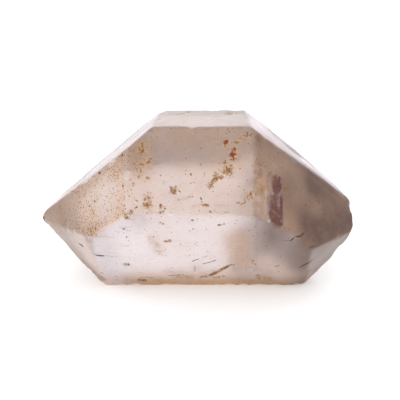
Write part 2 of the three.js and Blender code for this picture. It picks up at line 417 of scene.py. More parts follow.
def crystalField(points, relief, balls):
    # Height above the crystal's surface: the smooth largest of the heights above all its faces, which is the
    # logarithm of the sum of their powers, and the largest of the depths inside the balls that chip it
    heights = points @ normals.T - distances - relief
    top = heights.max(1)
    patches = np.clip(waves(points, wear["patchSize"], seeds["wear"]), -wear["limit"], wear["limit"])
    uneven = 1 + wear["unevenness"] * patches
    sharp = (wear["sharpness"] * np.clip(uneven, wear["least"], None))[:, None]
    weights = np.exp(sharp * (heights - top[:, None]))
    total = weights.sum(1)
    field = top + np.log(total) / sharp[:, 0]
    gradient = (weights / total[:, None]) @ normals
    for ball in balls:
        away = points - ball[:3]
        reach = np.linalg.norm(away, axis=1)
        inside = ball[3] - reach
        cut = inside > field
        field[cut] = inside[cut]
        gradient[cut] = -away[cut] / reach[cut, None]
    return field, gradient


def settledSkin():
    # The ideal skin is moved along the field's slope, by height over slope, until it lies on the surface
    corners = bodyCorners()
    points, triangles = weldedSkin(corners, smallMarks())
    print("faces filled and welded:", len(points), "points from", len(corners), "corners")
    relief = np.zeros((len(points), len(normals)))
    for index in range(len(normals)):
        near = points @ normals[index] > distances[index] - wear["near"]
        if near.any():
            relief[near, index] = faceRelief(index, points[near])
    balls = chipBalls()
    for _ in range(skin["settleSteps"]):
        field, gradient = crystalField(points, relief, balls)
        points = points - gradient * (field / (gradient ** 2).sum(1))[:, None]
    points[:, 2] = np.maximum(points[:, 2], -distances[underFace])
    print("skin settled round", len(balls), "chips")
    return points, triangles


def meshPiece(name, points, triangles, colours=None):
    mesh = bpy.data.meshes.new(name)
    mesh.from_pydata(points.tolist(), [], triangles.tolist())
    mesh.polygons.foreach_set("use_smooth", np.ones(len(triangles), bool))
    for attribute, values in (colours or {}).items():
        layer = mesh.color_attributes.new(attribute, "FLOAT_COLOR", "POINT")
        layer.data.foreach_set("color", values.astype(np.float32).ravel())
    mesh.update()
    piece = bpy.data.objects.new(name, mesh)
    bpy.context.collection.objects.link(piece)
    return piece


# How marks lie on the skin: how far a face turns to the front to take them, up to which radius the grid is closer
# around them, and the depth in mm over which a face's own tint fades
strokes = {"frontBelow": -0.1, "smallRadius": 0.36, "edgeFade": 0.1}

# Marks on the front, in mm from the crystal's middle. Each is a stroke: x and height of both ends, its radius
# and its strength. The skin under the stroke gives the third number
# Rust: spots and clusters of grains
rustStrokes = [
    (3.5, 10.7, 3.4, 10.7, 0.28, 1), (3.4, 10.4, 3.4, 10.2, 0.18, 0.7), (4.6, 9.9, 4.5, 9.8, 0.29, 1),
    (4.4, 9.4, 4.4, 9, 0.39, 1), (3.9, 9.8, 3.9, 9.8, 0.13, 0.7), (3.3, 8.7, 3.2, 7.2, 0.15, 0.75),
    (3.6, 7.4, 3.7, 7.6, 0.25, 1.3), (4.1, 8, 4.1, 7.2, 0.2, 0.85), (3.5, 8.3, 3.9, 7.2, 0.47, 0.55),
    (2.9, 6.8, 2.4, 6.9, 0.22, 1.1), (2.2, 7.3, 2.3, 6.9, 0.15, 0.9), (2.4, 6.8, 1.9, 6.3, 0.26, 1),
    (1.9, 6.3, 1.5, 5.8, 0.29, 0.6), (2.6, 7.3, 1.7, 6, 0.5, 0.45), (4.2, 10.7, 4.2, 10.7, 0.1, 0.8),
    (4.7, 10.7, 5, 10.8, 0.16, 0.9), (5.1, 10.9, 5.8, 11.4, 0.18, 0.7), (6.1, 11.6, 6.5, 11.5, 0.25, 1.2),
    (6.3, 10.6, 6.4, 10.6, 0.12, 0.6), (5.6, 11.1, 6.8, 11.1, 0.51, 0.3),
    (-7.1, 10.6, -7.1, 10.3, 0.15, 0.85), (-7.2, 10, -7.1, 9.5, 0.23, 1.25),
    (-6, 8.8, -6.4, 8.4, 0.18, 0.9), (-7.1, 8.3, -7.1, 8.2, 0.15, 0.8), (-7.2, 7.7, -7.2, 7.4, 0.13, 0.7),
    (-6.9, 8, -7, 7.8, 0.12, 0.6), (-6.6, 9.9, -7.3, 7.7, 0.95, 0.36), (-6, 8.5, -7.5, 7.4, 0.66, 0.3),
    (-7.5, 6.9, -7.4, 6.9, 0.18, 0.75), (-6.4, 6.7, -6.2, 6.7, 0.18, 0.75),
    (-8.1, 6.1, -8.1, 5.9, 0.13, 0.7), (-5.2, 11.5, -5.1, 11.5, 0.16, 0.5),
    (-3.1, 5.4, -3.1, 5.3, 0.29, 1.3), (-3.6, 5.1, -2.8, 5.8, 0.15, 0.7), (-3.5, 5.7, -2.8, 5, 0.13, 0.6),
    (-2.4, 5.3, -2.2, 5.2, 0.09, 0.7), (-6.2, 4, -6.4, 3.9, 0.32, 1.25), (-6.6, 4.4, -5.8, 3.7, 0.18, 0.8),
    (-6, 4.5, -6.6, 3.7, 0.18, 0.8), (-6.2, 4.7, -6.2, 3.6, 0.5, 0.5), (-4.6, 3.7, -4.6, 3.5, 0.15, 1),
    (-4.2, 3.5, -4.1, 3.4, 0.13, 0.8), (-4.6, 3, -4.4, 3, 0.18, 0.9), (-6.4, 2.9, -4.7, 2.9, 0.13, 0.4),
    (-7.6, 4.2, -7.5, 4.2, 0.09, 0.8), (-7.8, 3.4, -7.6, 3.5, 0.1, 0.8), (-8.4, 2.8, -8.2, 3, 0.22, 1),
    (-8.9, 2.5, -8.8, 2.2, 0.25, 1), (-9.1, 2.8, -8, 2.9, 0.44, 0.35), (0.6, 3.7, 1.2, 3.7, 0.15, 0.9),
    (-0.8, 3.6, 0.3, 3.7, 0.18, 0.4), (0.4, 4.1, 0.5, 4, 0.1, 0.6), (1.5, 3, 1.7, 2.9, 0.12, 0.8),
    (5, 4, 5.2, 3.9, 0.1, 0.9), (5.3, 3.8, 5.6, 3.9, 0.1, 0.7), (5.8, 4.3, 5.8, 4, 0.1, 0.9),
    (5.3, 4.4, 5.4, 4.3, 0.09, 0.6), (6.4, 4.7, 6.6, 4.9, 0.22, 0.85), (6.1, 4.6, 7.9, 5.5, 0.5, 0.5),
    (6, 5.8, 8, 5.8, 0.58, 0.22), (7.7, 10.5, 7.6, 6.6, 0.36, 0.2), (7.9, 8.1, 7.9, 8, 0.13, 0.8),
    (7.6, 7, 7.6, 6.9, 0.15, 0.95), (7.4, 6.7, 7.5, 6.6, 0.1, 0.6), (-4.7, 1.3, -4.4, 1.1, 0.13, 1),
    (2.6, 0.9, 2.7, 0.9, 0.12, 1), (3.2, 1.1, 3.3, 1.1, 0.1, 0.8), (-4.4, -2.1, -4.2, -2.1, 0.2, 0.95),
    (-3.8, -1.9, -3.8, -2, 0.18, 1.1), (-6.1, -1.2, -5.3, -4.1, 0.66, 0.35),
    (-10.3, -6.7, -10, -6.8, 0.28, 0.8), (-8.8, -10.2, -8.1, -10.3, 0.26, 1),
    (-8.5, -9.6, -6.9, -9.6, 0.12, 0.6), (-14.1, -8.5, -13.9, -8.6, 0.15, 0.5),
    (1.5, -9.1, 2.8, -8, 0.2, 1.1), (3, -7.8, 4, -7, 0.2, 1.1), (4.2, -6.8, 4.7, -6.7, 0.13, 0.8),
    (0.1, -9.4, 0.9, -9.4, 0.23, 0.7), (-3.2, -9.5, -1.2, -9.5, 0.58, 0.34),
    (-4.5, -9.2, -2.3, -8.9, 0.12, 0.6), (-0.7, -7, -0.7, -8.1, 0.13, 0.5), (2, -9.6, 3.4, -9.2, 0.23, 0.5),
    (7.4, -5.9, 7.4, -6.3, 0.18, 0.9), (7.5, -6.5, 7.8, -6.7, 0.12, 0.7), (8.2, -8.9, 8.6, -9.9, 0.26, 0.6),
    (8.5, -9.5, 10.2, -10, 0.47, 0.45), (6.4, 0, 6.5, 0, 0.13, 0.6), (7, -0.9, 7, -1, 0.13, 0.5),
    (17.9, -0.9, 18.2, -1.3, 0.22, 0.75), (16.3, 1.8, 16.5, 1.5, 0.13, 1),
    (14.2, 1.9, 14.3, 1.8, 0.13, 0.8), (14.8, 1.5, 14.9, 1.4, 0.09, 0.7), (16.3, 0.6, 16.6, 0.7, 0.16, 0.5),
    (19.5, -3, 19.4, -3.1, 0.13, 0.9), (19.1, -3.5, 19, -3.8, 0.13, 0.9), (14, -2.1, 15.3, -3.2, 0.18, 0.6),
    (11, 4.7, 11.5, 4.4, 0.16, 0.8), (11.1, 4.3, 11.4, 4.2, 0.12, 0.4),
    (-14.1, -0.4, -13.6, -1, 0.53, 0.35), (-18.5, -0.6, -18.5, -1, 0.26, 0.6),
    (-19.7, 0.7, -18.9, 0, 0.35, 0.35), (-13.4, 0, -13.4, -0.2, 0.1, 0.9),
    (-13.7, -0.5, -13.7, -0.6, 0.09, 0.8), (-14, -0.3, -13.9, -0.3, 0.07, 0.6),
    (-14.4, -1.3, -14.4, -1.4, 0.15, 0.6),
]
# Deep red grains inside the two largest clusters
redStrokes = [
    (3.48, 10.72, 3.6, 10.79, 0.22, 1.35), (3.33, 10.66, 3.38, 10.68, 0.14, 1.1),
    (4.5, 9.99, 4.6, 9.88, 0.21, 1.1), (4.31, 9.33, 4.44, 9.17, 0.31, 1.15),
    (4.39, 8.97, 4.36, 8.86, 0.13, 0.8), (4.72, 9.56, 4.75, 9.44, 0.12, 0.6),
    (3.62, 7.4, 3.58, 7.49, 0.1, 0.7),
]
# Dark specks and hairline cracks
darkStrokes = [
    (12.01, -1.87, 12.49, -1.33, 0.11, 0.9), (12.49, -1.33, 13.24, -1.47, 0.12, 1),
    (13.24, -1.47, 13.85, -1.31, 0.1, 0.8), (10.46, -1.83, 11.88, -1.81, 0.07, 0.6),
    (12.2, -1.04, 12.65, -1.07, 0.07, 0.4), (15.49, -5.87, 14.83, -6.56, 0.11, 0.9),
    (14.83, -6.56, 14.35, -6.88, 0.12, 0.8), (14.35, -6.88, 13.79, -7.33, 0.12, 0.6),
    (14.52, -6.16, 14, -6.71, 0.07, 0.5), (10.51, -7.14, 10.78, -7.06, 0.09, 0.8),
    (10.78, -7.06, 11.03, -6.82, 0.07, 0.7), (10.69, -8.35, 10.95, -8.32, 0.07, 0.7),
    (10.95, -8.32, 11.22, -8.13, 0.07, 0.6), (8.88, -2.78, 8.93, -2.88, 0.13, 0.6),
    (-14.89, -4.17, -14.51, -4.44, 0.07, 0.45), (-14.51, -4.44, -14, -4.78, 0.1, 0.6),
    (-14.01, -4.82, -13.12, -4.92, 0.12, 0.85), (-13.12, -4.92, -11.27, -5.09, 0.07, 0.6),
    (-16.56, -3.69, -16.03, -3.85, 0.15, 1), (-22.81, -1.55, -22.66, -2.35, 0.2, 0.8),
    (-13.15, 6.46, -13.08, 6.36, 0.15, 0.9), (-14.26, 5.72, -14.21, 5.7, 0.1, 0.7),
    (-9.66, 9.24, -9.63, 9.15, 0.12, 0.9), (-10.98, 5.15, -10.96, 5.06, 0.1, 0.8),
    (-9.51, 5.79, -9.44, 5.71, 0.12, 0.8), (-10.07, 6.17, -10.03, 6.16, 0.09, 0.6),
    (-13.79, 2.95, -13.76, 2.89, 0.12, 0.9), (-14.58, 2.16, -14.54, 2.1, 0.12, 0.7),
    (-11.7, 2.48, -11.66, 2.4, 0.12, 0.8), (-13.86, 1.47, -13.83, 1.44, 0.1, 0.8),
    (-16.01, 1.64, -15.97, 1.58, 0.09, 0.7), (-10.99, 1.44, -10.95, 1.39, 0.1, 0.7),
    (-14.1, 0.97, -14.06, 0.93, 0.09, 0.7), (-14.43, -1.31, -14.39, -1.39, 0.12, 0.8),
    (-9.92, 4.02, -9.87, 4.03, 0.07, 0.7), (-7.6, 4.25, -7.55, 4.25, 0.07, 0.8),
    (-7.64, 3.51, -7.56, 3.52, 0.09, 0.8), (-9.66, 0.27, -9.41, 0.25, 0.09, 0.9),
    (-9.13, 0.02, -9.08, -0.05, 0.07, 0.7), (-9.35, -1.08, -9.37, -1.41, 0.09, 0.6),
    (-9.21, -1.83, -9.21, -1.98, 0.07, 0.6), (-12.01, -3.39, -11.95, -3.41, 0.09, 0.6),
    (-7.77, -0.38, -7.65, -0.41, 0.09, 0.4), (-0.91, 7.17, -0.89, 7.08, 0.12, 0.75),
    (0.68, 6.45, 0.6, 6.32, 0.09, 0.5), (-0.29, 10.47, -0.28, 10.37, 0.09, 0.4),
    (-3.81, 9.84, -3.8, 9.79, 0.09, 0.35), (3.92, 11.94, 3.99, 11.91, 0.12, 0.6),
    (0.33, 4.54, 0.43, 4.32, 0.09, 0.8), (2.12, 4.69, 2.54, 4.65, 0.09, 0.5),
    (4.12, 5.23, 4.15, 5.21, 0.07, 0.7), (-4.76, 7.07, -4.68, 7.03, 0.12, 0.6),
    (-0.75, 1.82, -0.68, 1.77, 0.12, 1), (-0.25, 1.72, -0.05, 1.77, 0.07, 0.6),
    (-1.07, -0.06, -1.2, -0.09, 0.07, 0.7), (-0.73, 0.19, -0.6, 0.34, 0.07, 0.7),
    (-3.5, -0.38, -3.46, -0.42, 0.09, 0.5), (-6.19, 1.41, -6.18, 1.33, 0.09, 0.6),
    (-2.71, 1.1, -2.68, 1.06, 0.07, 0.5), (2.54, 0.9, 2.69, 0.97, 0.1, 1),
    (-0.23, -2.86, -0.04, -2.94, 0.09, 0.5), (1.11, -3.96, 1.15, -4, 0.09, 0.6),
    (-0.98, -6.05, -0.13, -5.51, 0.07, 0.8), (-0.13, -5.51, 1.19, -4.93, 0.07, 0.6),
    (0.51, -6.56, 1.31, -6.3, 0.07, 0.85), (1.31, -6.3, 2.26, -5.76, 0.07, 0.85),
    (0.13, -5.88, 1.24, -5.3, 0.06, 0.4), (1.4, -5.59, 2.22, -5.01, 0.06, 0.5),
    (-0.91, -6.39, -0.48, -6.18, 0.06, 0.4), (1.58, -8.93, 1.72, -8.79, 0.1, 0.9),
    (3.41, -7.55, 3.91, -7.18, 0.1, 0.9), (-9.13, -8.59, -8.04, -8.61, 0.07, 0.5),
    (-7.81, -8.32, -7.57, -8.28, 0.09, 0.5), (9.23, 8.4, 9.29, 8.34, 0.12, 0.5),
    (10.48, 7.68, 10.54, 7.65, 0.1, 0.4), (12.26, 7.84, 12.29, 7.78, 0.09, 0.7),
    (-9.13, 2.67, -6.52, 2.74, 0.07, 0.35), (-6.39, 2.81, -4.91, 2.83, 0.07, 0.4),
    (-2.69, 2.7, 0.88, 2.8, 0.07, 0.3), (1.74, 2.89, 2.6, 2.9, 0.1, 0.5),
    (3.22, 2.94, 3.71, 2.95, 0.1, 0.5), (3.95, 2.91, 5.91, 2.86, 0.07, 0.3),
    (8.3, 4.21, 8.32, 4.14, 0.09, 0.7),
]
# The dark red bruise in the broken patch, and painted shade in the strokes along the patch's sharp right wall
bruiseStrokes = [
    (9.9, 5.8, 10.3, 5.2, 0.41, 0.85), (10.5, 5.9, 10.5, 4.4, 0.16, 0.9), (10.5, 4.4, 10.65, 3.4, 0.18, 1),
    (10.65, 3.4, 10.6, 0.7, 0.18, 1), (9.6, 4.9, 10.2, 4.6, 0.23, 0.5), (9.3, 4.1, 10.3, 3.4, 0.35, 0.6),
    (9.6, 2.9, 10.3, 2.1, 0.47, 0.8), (9.4, 2.1, 10.2, 1.1, 0.5, 1), (9, 2.4, 9.1, 1.8, 0.23, 0.45),
    (8.7, 6.5, 9.3, 6.9, 0.13, 0.5), (9.9, 5.8, 9.9, 1.2, 0.61, 0.6), (8.7, 6.3, 9, 4.6, 0.44, 0.33),
    (8.9, 4.6, 8.7, 1.9, 0.4, 0.28), (8.5, 6.4, 8.4, 5.7, 0.1, 0.35), (8, 5.6, 8, 2.8, 0.32, 0.16),
    (9.4, 4.6, 9.3, 2.6, 0.5, 0.45), (9.2, 3, 9.4, 1.4, 0.4, 0.5),
]
# Milky spots beside the bruise and on the lower front, and a painted glint on the edge between the two front
# prism faces
paleAndGlintStrokes = [
    (8.5, 4.9, 8.4, 2.5, 0.16, 0.2), (9.1, 4.2, 9.8, 3.4, 0.12, 0.35), (8.7, 1.5, 9.2, 1.5, 0.12, 0.7),
    (9.5, 4.5, 10.1, 4, 0.12, 0.25), (6.9, 11.1, 7.1, 11, 0.13, 0.5), (5.1, -1.8, 5.8, -5.8, 1.31, 0.3),
    (9.2, -6.2, 12.2, -8.8, 1.31, 0.4), (-3.4, 2.7, -3.3, 2.7, 0.13, 1.3),
]
# Tan skin, partly painted shade, at the right foot, the upper right edge and the left foot
tanAndShadeStrokes = [
    (5.1, -1.8, 5.8, -5.8, 1.31, 1), (9.2, -6.2, 12.5, -8.8, 1.31, 0.85), (7.15, 12, 7.1, 2.9, 0.32, 0.75),
    (-22.4, -3, -18.2, -7.2, 1.3, 0.8), (-18.2, -7.2, -14.4, -9.8, 1.3, 0.8),
]
# Faint brown smears
smearStrokes = [
    (9.9, 5.6, 9.8, 1.2, 0.7, 0.45), (7.7, 11.8, 7.7, 6.4, 0.7, 0.65), (7.6, 6.4, 7.7, 2.7, 0.85, 0.65),
    (6.2, 4.7, 8, 5.6, 0.66, 0.4), (-8.5, 9.9, -7.3, 7.8, 0.8, 0.14), (-6.6, 9.9, -6.8, 7.6, 1.17, 0.14),
    (5.1, -1.8, 5.8, -5.8, 1.31, 0.35), (8.3, 6, 8.5, 2.3, 0.66, 0.5), (7.2, 2.5, 8, -7.9, 0.23, 0.35),
    (-14, -10, -10.3, -10.4, 0.66, 0.55), (-10.2, -10.2, 0.7, -10.3, 0.88, 0.24),
    (0.7, -10.2, 9, -10.5, 0.88, 0.22), (9, -10.6, 14.6, -11.1, 0.73, 0.34),
    (-4.2, -8.4, 0, -8.3, 0.73, 0.32), (-0.5, -7.5, 0.9, -8.8, 0.88, 0.3), (2, -8.3, 4.5, -7.5, 0.58, 0.4),
    (8.9, -9.5, 10.1, -10.1, 0.66, 0.35), (-22.3, -3, -18.4, -7.3, 0.85, 1),
    (-18.4, -7.3, -14.9, -9.6, 0.8, 0.65), (-20.7, 0.3, -18.5, -1.1, 1.31, 0.32),
    (-18.8, -0.9, -14.2, -1.2, 0.53, 0.2), (-14, 0, -12.7, -0.7, 0.66, 0.25),
    (-2.9, -9.3, -1.2, -9.5, 0.66, 0.45), (-5.7, -1.4, -5.7, -3.9, 0.88, 0.22),
    (-21.6, -0.5, -6.1, 12.2, 0.19, 0.45), (7.3, 12, 20.9, 0, 0.26, 0.35),
    (8.6, -6.2, 13.2, -9.2, 1.17, 0.25), (5.6, 3.9, 6.6, 2.7, 0.73, 0.2),
]

# Faint lines on the two upper slopes: x and y of both ends, radius and strength
slopeLines = [
    (8.3, -5.5, 10.4, -3, 0.12, 0.5), (10.6, -3.4, 12.6, -1.6, 0.1, 0.35),
    (13.3, -1.2, 14.6, 0.2, 0.13, 0.8), (14.8, 0, 16, 1.2, 0.1, 0.4), (8.8, -3.2, 11.5, 0.5, 0.1, 0.4),
    (9.5, 0.5, 12, 3.5, 0.1, 0.3), (11, -4.4, 13.8, -2.6, 0.1, 0.35), (-8.2, -5.9, -7.1, -6.9, 0.14, 0.7),
    (-9.2, -4.6, -10.3, -3.7, 0.12, 0.5), (-11.5, -1, -12.6, 0.6, 0.13, 0.7),
    (-8.2, -2.8, -9.8, -0.6, 0.1, 0.4), (-13.5, 0.5, -16, 2, 0.1, 0.35), (-10, -5, -12.5, -3.4, 0.1, 0.35),
    (-9, 1, -10.6, 4, 0.1, 0.3), (-14.5, -1.8, -17, -0.2, 0.1, 0.3),
]

def slopePoint(x, y):
    # Where a line that runs along Z meets the upper slope at that end
    index = faceIndex("left" if x < 0 else "right", 0)
    away = distances[index] - normals[index, 0] * x - normals[index, 1] * y
    return np.array([x, y, away / normals[index, 2]])


def frontPoint(x, z):
    # Where a line that runs along Y first meets the crystal: the farthest back of the planes that face the front
    facing, away = normals[:firstBroken], distances[:firstBroken]
    reach = (away - facing[:, 0] * x - facing[:, 2] * z) / facing[:, 1]
    return np.array([x, reach[facing[:, 1] < strokes["frontBelow"]].max(), z])


def smallMarks():
    # The fine marks, around which the skin is divided more closely: both ends and the radius
    marks = [(frontPoint, mark) for mark in redStrokes + darkStrokes + bruiseStrokes + rustStrokes
             if mark[4] < strokes["smallRadius"]]
    marks += [(slopePoint, mark) for mark in slopeLines]
    return [(place(*mark[:2]), place(*mark[2:4]), mark[4])
            for place, mark in marks]


def strokeMask(points, rows, place=frontPoint):
    # The strongest of all strokes: strength times e to minus half the square of distance over radius
    mask = np.zeros(len(points))
    for x0, z0, x1, z1, radius, strength in rows:
        ends = place(x0, z0), place(x1, z1)
        mask = np.maximum(mask, strength * np.exp(-(distanceToStroke(points, ends) / radius) ** 2 * 0.5))
    return mask


# Faces with a tint of their own: zone, side and amount. The milky tint is partly painted reflection, the tan
# partly painted shade
milkyAndReflectionFaces = [("left", 0, 0.68), ("right", 0, 0.8), ("left", 2, 0.3), ("right", 2, 0.08), ("prism", 0, 0.12),
              ("left", 1, 0.15), ("left", 5, 0.3), ("right", 5, 0.3)]
smearFaces = [("prism", 0, 0.19), ("left", 2, 0.24), ("left", 1, 0.06)]
tanAndShadeFaces = [("left", 1, 0.88), ("right", 1, 0.85), ("left", 2, 0.5), ("prism", 0, 0.25)]


def onFace(points, zone, side):
    # 1 on a face, falling off inwards from it: e to minus the depth under its plane over the fade
    index = faceIndex(zone, side)
    return np.exp(-np.clip(distances[index] - points @ normals[index], 0, None) / strokes["edgeFade"])


def faceMask(points, rows):
    # The strongest of the faces' own amounts
    return np.max([amount * onFace(points, zone, side) for zone, side, amount in rows], axis=0)


# Rust that the photo doesn't show, on the back, the top and the ends: clusters of spots strewn along a line
hiddenRust = {"clusters": 26, "spots": (3, 10), "spread": 1.1, "stray": 0.2, "radius": (0.12, 0.5),
              "strength": (0.5, 1.15)}


def hiddenRustMask(points, hidden):
    # The strongest of random spots: strength times e to minus the square of distance over radius
    rng = np.random.default_rng(seeds["hiddenRust"])
    mask = np.zeros(len(points))
    spread, stray = hiddenRust["spread"], hiddenRust["stray"]
    for start in points[rng.choice(np.flatnonzero(hidden), hiddenRust["clusters"])]:
        run = rng.normal(size=3)
        for _ in range(rng.integers(*hiddenRust["spots"])):
            middle = start + run * rng.normal(0, spread) / 2 + rng.normal(0, stray, 3)
            radius, strength = rng.uniform(*hiddenRust["radius"]), rng.uniform(*hiddenRust["strength"])
            away = np.linalg.norm(points - middle, axis=1) / radius
            mask = np.maximum(mask, strength * np.exp(-away ** 2))
    return mask


# The zones that no stroke draws, in mm from the crystal's middle. A pair is where a smooth rise starts and
# ends, and a number before a pair is the amount it rises by
zones = {
    "unseen": {"behind": 1.5, "below": -11.2},
    "smearPatches": {"hiddenSmear": (0.38, 7.0, (0.2, 2.2)), "faintSmear": (0.1, 2.4, (0.2, 1.9))},
    "freckles": {"leftFace": (-18.8, -15.8), "leftCorner": (0.45, (5.5, 10)), "upperHalf": (0.06, (2.6, 3.6)),
                 "least": 0.03},
    "smoke": {"begins": (0.68, (6.6, 9.6)), "deepens": (0.37, (11.5, 18.5)), "footGap": (0.75, (-0.5, 4.5)),
              "gapSlope": 0.35, "gapEnd": (14.5, (0, 4)), "lowerFace": 0.45, "cloud": (0.15, 6.0)},
    # Tan, partly painted shade: at the foot, the left tip and the upper front face, more along its ridge and at
    # its left corner
    "tanAndShade": {"foot": (0.36, (7.3, 10.2)), "rim": (0.62, (8.8, 11.2)), "tip": (0.85, (16.5, 20.0)),
            "tipHeight": (-6, -2), "upper": 0.31, "ridge": (0.31, (6.2, 8.4)), "ridgeEnd": (8, (0, 3)),
            "leftRidge": (0.17, (5.5, 8.0)), "leftOf": (3.0, 7.0), "leftCorner": (0.75, (6.5, 10.0))},
    # Milk on the lower front face, partly painted reflection of the bright floor
    "milkAndReflection": {"cloud": (0.15, 5.0), "lowerFace": 0.3, "leftHalf": (0.24, (2.0, 9.5)), "faceEnd": (6.5, (0, 4)),
             "clearFoot": (0.9, (7.0, 9.5)), "footFrom": (-13, -8)},
}


def rise(value, row):
    # An amount times a smooth rise
    amount, ends = row
    return amount * ramp(value, *ends)


def fallTowards(x, row):
    # 1 far to the left of a place and 0 beyond it
    place, ends = row
    return ramp(place - x, *ends)


def smearMask(points, hidden):
    # The strongest of strokes, lines on the slopes, patches where waves rise, and the smeared faces
    smear = np.maximum(strokeMask(points, smearStrokes), strokeMask(points, slopeLines, slopePoint))
    for name, where in (("hiddenSmear", hidden), ("faintSmear", 1)):
        amount, size, ends = zones["smearPatches"][name]
        smear = np.maximum(smear, amount * where * ramp(waves(points, size, seeds[name]), *ends))
    return np.maximum(smear, faceMask(points, smearFaces))


def freckleMask(points):
    # The largest of the left front face but for its tip, the upper left corner, the upper half and a low amount
    own, x = zones["freckles"], points[:, 0]
    leftFace = onFace(points, "left", 1) * ramp(x, *own["leftFace"])
    upper, ends = own["upperHalf"]
    high = ramp(points[:, 2], *ends)
    return np.max([leftFace, rise(-x, own["leftCorner"]) * high, upper * high,
                   np.full(len(x), own["least"])], axis=0)


def smokeMask(points):
    # Two rises along X, less a gap low down at the near end, less a share on the lower face, times waves
    own, x = zones["smoke"], points[:, 0]
    smoke = rise(x, own["begins"]) + rise(x, own["deepens"])
    smoke *= 1 - rise(-points[:, 2] - own["gapSlope"] * x, own["footGap"]) * fallTowards(x, own["gapEnd"])
    smoke *= 1 - own["lowerFace"] * onFace(points, "right", 2)
    amount, size = own["cloud"]
    return smoke * (1 + amount * waves(points, size, seeds["smoke"]))


def tanAndShadeMask(points):
    # The largest of two rises to the foot, the left tip, the strokes, the tan faces and the upper prism face,
    # which is one amount with more along its ridge and at its left corner. The tan is partly painted shade
    own, x, height = zones["tanAndShade"], points[:, 0], points[:, 2]
    foot = rise(-height, own["foot"]) + rise(-height, own["rim"])
    tip = rise(-x, own["tip"]) * ramp(height, *own["tipHeight"])
    upper = own["upper"] + rise(height, own["ridge"]) * fallTowards(x, own["ridgeEnd"])
    upper += rise(height, own["leftRidge"]) * ramp(-x, *own["leftOf"])
    upper = np.maximum(upper, rise(-x, own["leftCorner"])) * onFace(points, "prism", 1)
    drawn = strokeMask(points, tanAndShadeStrokes)
    return np.max([foot, tip, drawn, faceMask(points, tanAndShadeFaces), upper], axis=0)


def milkAndReflectionMask(points):
    # The largest of the pale strokes, the milky faces times waves, and the lower prism face, milkier to the left
    # and clear at its foot and right end. The milk is partly painted reflection of the bright sky and floor
    own, x = zones["milkAndReflection"], points[:, 0]
    amount, size = own["cloud"]
    faces = faceMask(points, milkyAndReflectionFaces) * (1 + amount * waves(points, size, seeds["milkAndReflection"]))
    lower = (own["lowerFace"] + rise(-x, own["leftHalf"])) * fallTowards(x, own["faceEnd"])
    lower *= 1 - rise(-points[:, 2], own["clearFoot"]) * ramp(x, *own["footFrom"])
    drawn = strokeMask(points, paleAndGlintStrokes)
    return np.max([drawn, faces, lower * onFace(points, "prism", 2)], axis=0)


def markings(points):
    # Three colour attributes, three masks in each. Stains: rust, deep red, dark cracks. Zones: freckles, smoke,
    # tan skin with painted shade. Veils: brown smears, the bruised patch with painted shade on its wall, milky
    # skin with painted reflection and a painted glint
    hidden = (points[:, 1] > zones["unseen"]["behind"]) | (points[:, 2] < zones["unseen"]["below"])
    rust = np.maximum(strokeMask(points, rustStrokes), hiddenRustMask(points, hidden))
    masks = {
        "stains": (rust, strokeMask(points, redStrokes), strokeMask(points, darkStrokes)),
        "zones": (freckleMask(points), smokeMask(points), tanAndShadeMask(points)),
        "veils": (smearMask(points, hidden), strokeMask(points, bruiseStrokes), milkAndReflectionMask(points)),
    }
    print("masks painted:", ", ".join(masks))
    return {name: np.clip(np.stack([*rows, np.ones(len(points))], 1), 0, 2 if name == "stains" else 1)
            for name, rows in masks.items()}


class NodeDesk:
    # Small helpers that add shader nodes and join them

    def __init__(self, name):
        self.material = bpy.data.materials.new(name)
        self.material.use_nodes = True
        self.tree = self.material.node_tree
        self.shader = self.tree.nodes["Principled BSDF"]
        self.output = self.tree.nodes["Material Output"]

    def add(self, kind, **settings):
        node = self.tree.nodes.new(kind)
        for key, value in settings.items():
            setattr(node, key, value)
        return node

    def join(self, source, target):
        self.tree.links.new(source, target)

    def feed(self, socket, value):
        if isinstance(value, bpy.types.NodeSocket):
            self.join(value, socket)
        else:
            socket.default_value = value

    def combine(self, operation, first, second):
        node = self.add("ShaderNodeMath", operation=operation)
        self.feed(node.inputs[0], first)
        self.feed(node.inputs[1], second)
        return node.outputs[0]

    def times(self, first, second):
        return self.combine("MULTIPLY", first, second)

    def plus(self, first, second):
        return self.combine("ADD", first, second)

    def minus(self, first, second):
        return self.combine("SUBTRACT", first, second)

    def largest(self, first, *others):
        for other in others:
            first = self.combine("MAXIMUM", first, other)
        return first

    def rise(self, value, low, high):
        node = self.add("ShaderNodeMapRange", interpolation_type="SMOOTHSTEP")
        self.feed(node.inputs["Value"], value)
        self.feed(node.inputs["From Min"], low)
        self.feed(node.inputs["From Max"], high)
        return node.outputs["Result"]

    def blend(self, amount, first, second):
        node = self.add("ShaderNodeMix", data_type="RGBA")
        self.feed(node.inputs["Factor"], amount)
        self.feed(node.inputs["A"], first)
        self.feed(node.inputs["B"], second)
        return node.outputs["Result"]

    def noise(self, name):
        scale, detail, roughness, *stretch = grains[name]
        place = self.add("ShaderNodeTexCoord").outputs["Object"]
        if stretch:
            mapping = self.add("ShaderNodeMapping")
            mapping.inputs["Scale"].default_value = stretch
            self.join(place, mapping.inputs["Vector"])
            place = mapping.outputs["Vector"]
        node = self.add("ShaderNodeTexNoise")
        self.join(place, node.inputs["Vector"])
        node.inputs["Scale"].default_value = scale
        node.inputs["Detail"].default_value = detail
        node.inputs["Roughness"].default_value = roughness
        return node.outputs["Fac"]

    def split(self, colour):
        node = self.add("ShaderNodeSeparateColor")
        self.join(colour, node.inputs["Color"])
        return node.outputs["Red"], node.outputs["Green"], node.outputs["Blue"]

    def cells(self, scale):
        node = self.add("ShaderNodeTexVoronoi")
        self.join(self.add("ShaderNodeTexCoord").outputs["Object"], node.inputs["Vector"])
        node.inputs["Scale"].default_value = scale
        return node.outputs["Distance"], self.split(node.outputs["Color"])

    def channels(self, attribute):
        return self.split(self.add("ShaderNodeAttribute", attribute_name=attribute).outputs["Color"])


